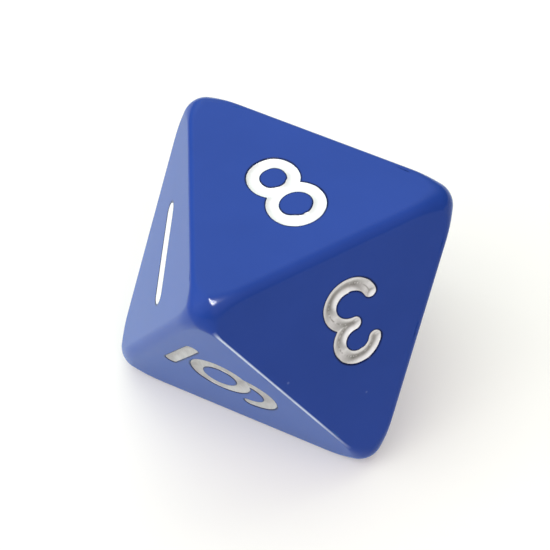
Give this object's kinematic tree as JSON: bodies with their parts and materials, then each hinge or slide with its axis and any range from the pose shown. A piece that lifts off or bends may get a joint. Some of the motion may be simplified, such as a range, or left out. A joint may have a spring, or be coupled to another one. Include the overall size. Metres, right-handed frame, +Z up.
{
  "type": "eight-sided die",
  "caption": "Eight-sided gaming die: glossy blue octahedron with rounded edges and engraved, white paint-filled numerals on every face.",
  "frame": {"origin": "middle of the face the die rests on (the face opposite the 8), at the bottom centre of the box", "axes": "+Z up, square to the upper face (8) and the resting face (7), which is the shortest extent; +Y is the longest extent and points away from the front corner of the upper face, which lies towards -Y; +X is along the upper face's back edge, to the right"},
  "size_m": [0.0182, 0.02, 0.015],
  "materials": {
    "blue_plastic": "polished, opaque royal blue moulded plastic",
    "white_paint": "white enamel paint film, satin"
  },
  "bodies": {
    "root": {"die_body": "blue_plastic", "paint_numeral_1": "white_paint", "paint_numeral_2": "white_paint", "paint_numeral_3": "white_paint", "paint_numeral_4": "white_paint", "paint_numeral_5": "white_paint", "paint_numeral_6": "white_paint", "paint_bar_under_6": "white_paint", "paint_numeral_7": "white_paint", "paint_numeral_8": "white_paint"}
  },
  "joints": []
}
